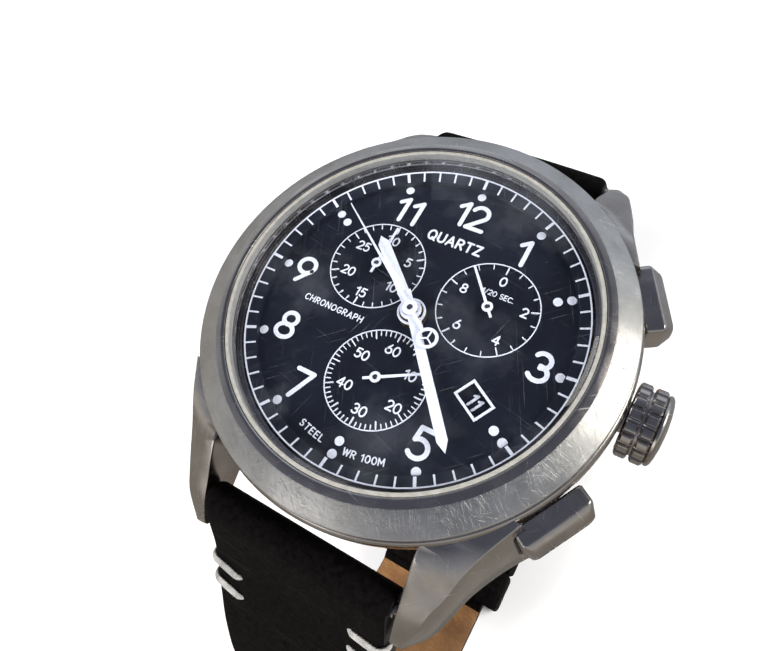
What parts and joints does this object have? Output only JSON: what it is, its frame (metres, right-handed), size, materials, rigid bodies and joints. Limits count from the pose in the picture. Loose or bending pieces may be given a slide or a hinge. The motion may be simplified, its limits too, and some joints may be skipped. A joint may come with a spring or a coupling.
{
  "type": "chronograph wristwatch",
  "caption": "Steel wristwatch with a black chronograph dial, small registers, date window, crown, push buttons and a leather strap with a pin buckle.",
  "frame": {"origin": "centre of the flat outer face of the back cover", "axes": "+Z out of the dial, +Y towards 12, +X towards the winding knob at 3"},
  "size_m": [0.0462, 0.0915, 0.0693],
  "materials": {
    "polished_steel": "polished stainless steel with fine scratches",
    "brushed_steel": "brushed stainless steel worn by use",
    "crystal": "clear mineral glass with light scratches",
    "nylon": "white moulded plastic",
    "rubber": "black rubber",
    "dial_black": "matt blue-black lacquer with white print",
    "hand_white": "white lacquer",
    "brass": "stamped brass",
    "copper": "enamelled copper winding",
    "board": "green circuit board",
    "leather": "black grained leather with a tan flesh side"
  },
  "bodies": {
    "case": {"mid_case": "polished_steel", "bezel": "brushed_steel", "crystal": "crystal", "crystal_gasket": "nylon", "chapter_ring": "dial_black", "dial": "dial_black", "case_back": "brushed_steel", "case_back_gasket": "rubber", "spring_bar_12": "polished_steel", "spring_bar_6": "polished_steel", "movement_holder": "nylon", "main_plate": "brass", "circuit_board": "board", "battery": "brushed_steel", "battery_clamp": "polished_steel", "time_coil": "copper", "chronograph_coil": "copper", "counter_coil": "copper", "quartz_can": "polished_steel", "crown_tube": "polished_steel", "pusher_tube_upper": "polished_steel", "pusher_tube_lower": "polished_steel"},
    "minutes": {"minute_hand": "hand_white", "cannon_pinion": "brass"},
    "motion_wheel": {"minute_wheel": "brass"},
    "hours": {"hour_hand": "hand_white", "hour_wheel": "brass"},
    "sweep": {"sweep_hand": "hand_white", "sweep_arbor": "polished_steel"},
    "counter_30min": {"counter_30min_hand": "hand_white", "counter_30min_arbor": "polished_steel"},
    "twentieths": {"twentieths_hand": "hand_white", "twentieths_arbor": "polished_steel"},
    "small_seconds": {"small_seconds_hand": "hand_white", "small_seconds_arbor": "polished_steel"},
    "date": {"date_ring": "hand_white"},
    "setting": {"setting_pinion": "polished_steel"},
    "crown_and_stem": {"crown": "polished_steel", "stem": "polished_steel", "crown_gasket": "rubber"},
    "upper_pusher": {"pusher_upper": "polished_steel", "pusher_spring_upper": "polished_steel", "pusher_clip_upper": "polished_steel"},
    "lower_pusher": {"pusher_lower": "polished_steel", "pusher_spring_lower": "polished_steel", "pusher_clip_lower": "polished_steel"},
    "tail_half": {"strap_tail": "leather"},
    "buckle_half": {"strap_buckle_half": "leather", "fixed_keeper": "leather", "buckle_bar": "polished_steel"},
    "loose_keeper": {"sliding_keeper": "leather"},
    "buckle": {"buckle_frame": "polished_steel"},
    "tongue": {"buckle_tongue": "polished_steel"}
  },
  "joints": [
    {"name": "minute_turn", "type": "hinge", "parent": "case", "child": "minutes", "pos_m": [0, 0, 0.0083], "axis": [0, 0, -1], "continuous": true},
    {"name": "motion_wheel_turn", "type": "hinge", "parent": "case", "child": "motion_wheel", "pos_m": [0.00261, 0.00122, 0.0075], "axis": [0, 0, -1], "continuous": true},
    {"name": "hour_turn", "type": "hinge", "parent": "case", "child": "hours", "pos_m": [0, 0, 0.0083], "axis": [0, 0, -1], "continuous": true},
    {"name": "sweep_turn", "type": "hinge", "parent": "case", "child": "sweep", "pos_m": [0, 0, 0.0083], "axis": [0, 0, -1], "continuous": true},
    {"name": "counter_turn", "type": "hinge", "parent": "case", "child": "counter_30min", "pos_m": [-0.0062, 0.0036, 0.0083], "axis": [0, 0, -1], "continuous": true},
    {"name": "twentieths_turn", "type": "hinge", "parent": "case", "child": "twentieths", "pos_m": [0.00625, 0.0036, 0.0083], "axis": [0, 0, -1], "continuous": true},
    {"name": "small_seconds_turn", "type": "hinge", "parent": "case", "child": "small_seconds", "pos_m": [0, -0.0072, 0.0083], "axis": [0, 0, -1], "continuous": true},
    {"name": "date_turn", "type": "hinge", "parent": "case", "child": "date", "pos_m": [0, 0, 0.0076], "axis": [0, 0, -1], "continuous": true},
    {"name": "crown_turn", "type": "hinge", "parent": "case", "child": "setting", "pos_m": [0.0072, 0, 0.0056], "axis": [1, 0, 0], "continuous": true},
    {"name": "crown_pull", "type": "slide", "parent": "setting", "child": "crown_and_stem", "axis": [1, 0, 0], "range_m": [0, 0.0012]},
    {"name": "upper_push", "type": "slide", "parent": "case", "child": "upper_pusher", "axis": [-0.866, -0.5, 0], "range_m": [0, 0.0008], "stiffness_N_per_m": 2500},
    {"name": "lower_push", "type": "slide", "parent": "case", "child": "lower_pusher", "axis": [-0.866, 0.5, 0], "range_m": [0, 0.0008], "stiffness_N_per_m": 2500},
    {"name": "tail_swing", "type": "hinge", "parent": "case", "child": "tail_half", "pos_m": [0, 0.0236, 0.0034], "axis": [1, 0, 0], "range_deg": [0, 75]},
    {"name": "buckle_half_swing", "type": "hinge", "parent": "case", "child": "buckle_half", "pos_m": [0, -0.0236, 0.0034], "axis": [-1, 0, 0], "range_deg": [0, 75]},
    {"name": "keeper_slide", "type": "slide", "parent": "buckle_half", "child": "loose_keeper", "axis": [0, -1, 0], "range_m": [0, 0.003]},
    {"name": "buckle_swing", "type": "hinge", "parent": "buckle_half", "child": "buckle", "pos_m": [0.0036, 0.0032, -0.0513], "axis": [1, 0, 0], "range_deg": [-20, 60]},
    {"name": "tongue_swing", "type": "hinge", "parent": "buckle", "child": "tongue", "pos_m": [0.0036, 0.0032, -0.0513], "axis": [-1, 0, 0], "range_deg": [0, 90]}
  ],
  "couplings": [
    {"joint": "motion_wheel_turn", "follows": "minute_turn", "ratio": -0.33333},
    {"joint": "hour_turn", "follows": "minute_turn", "ratio": 0.083333}
  ]
}
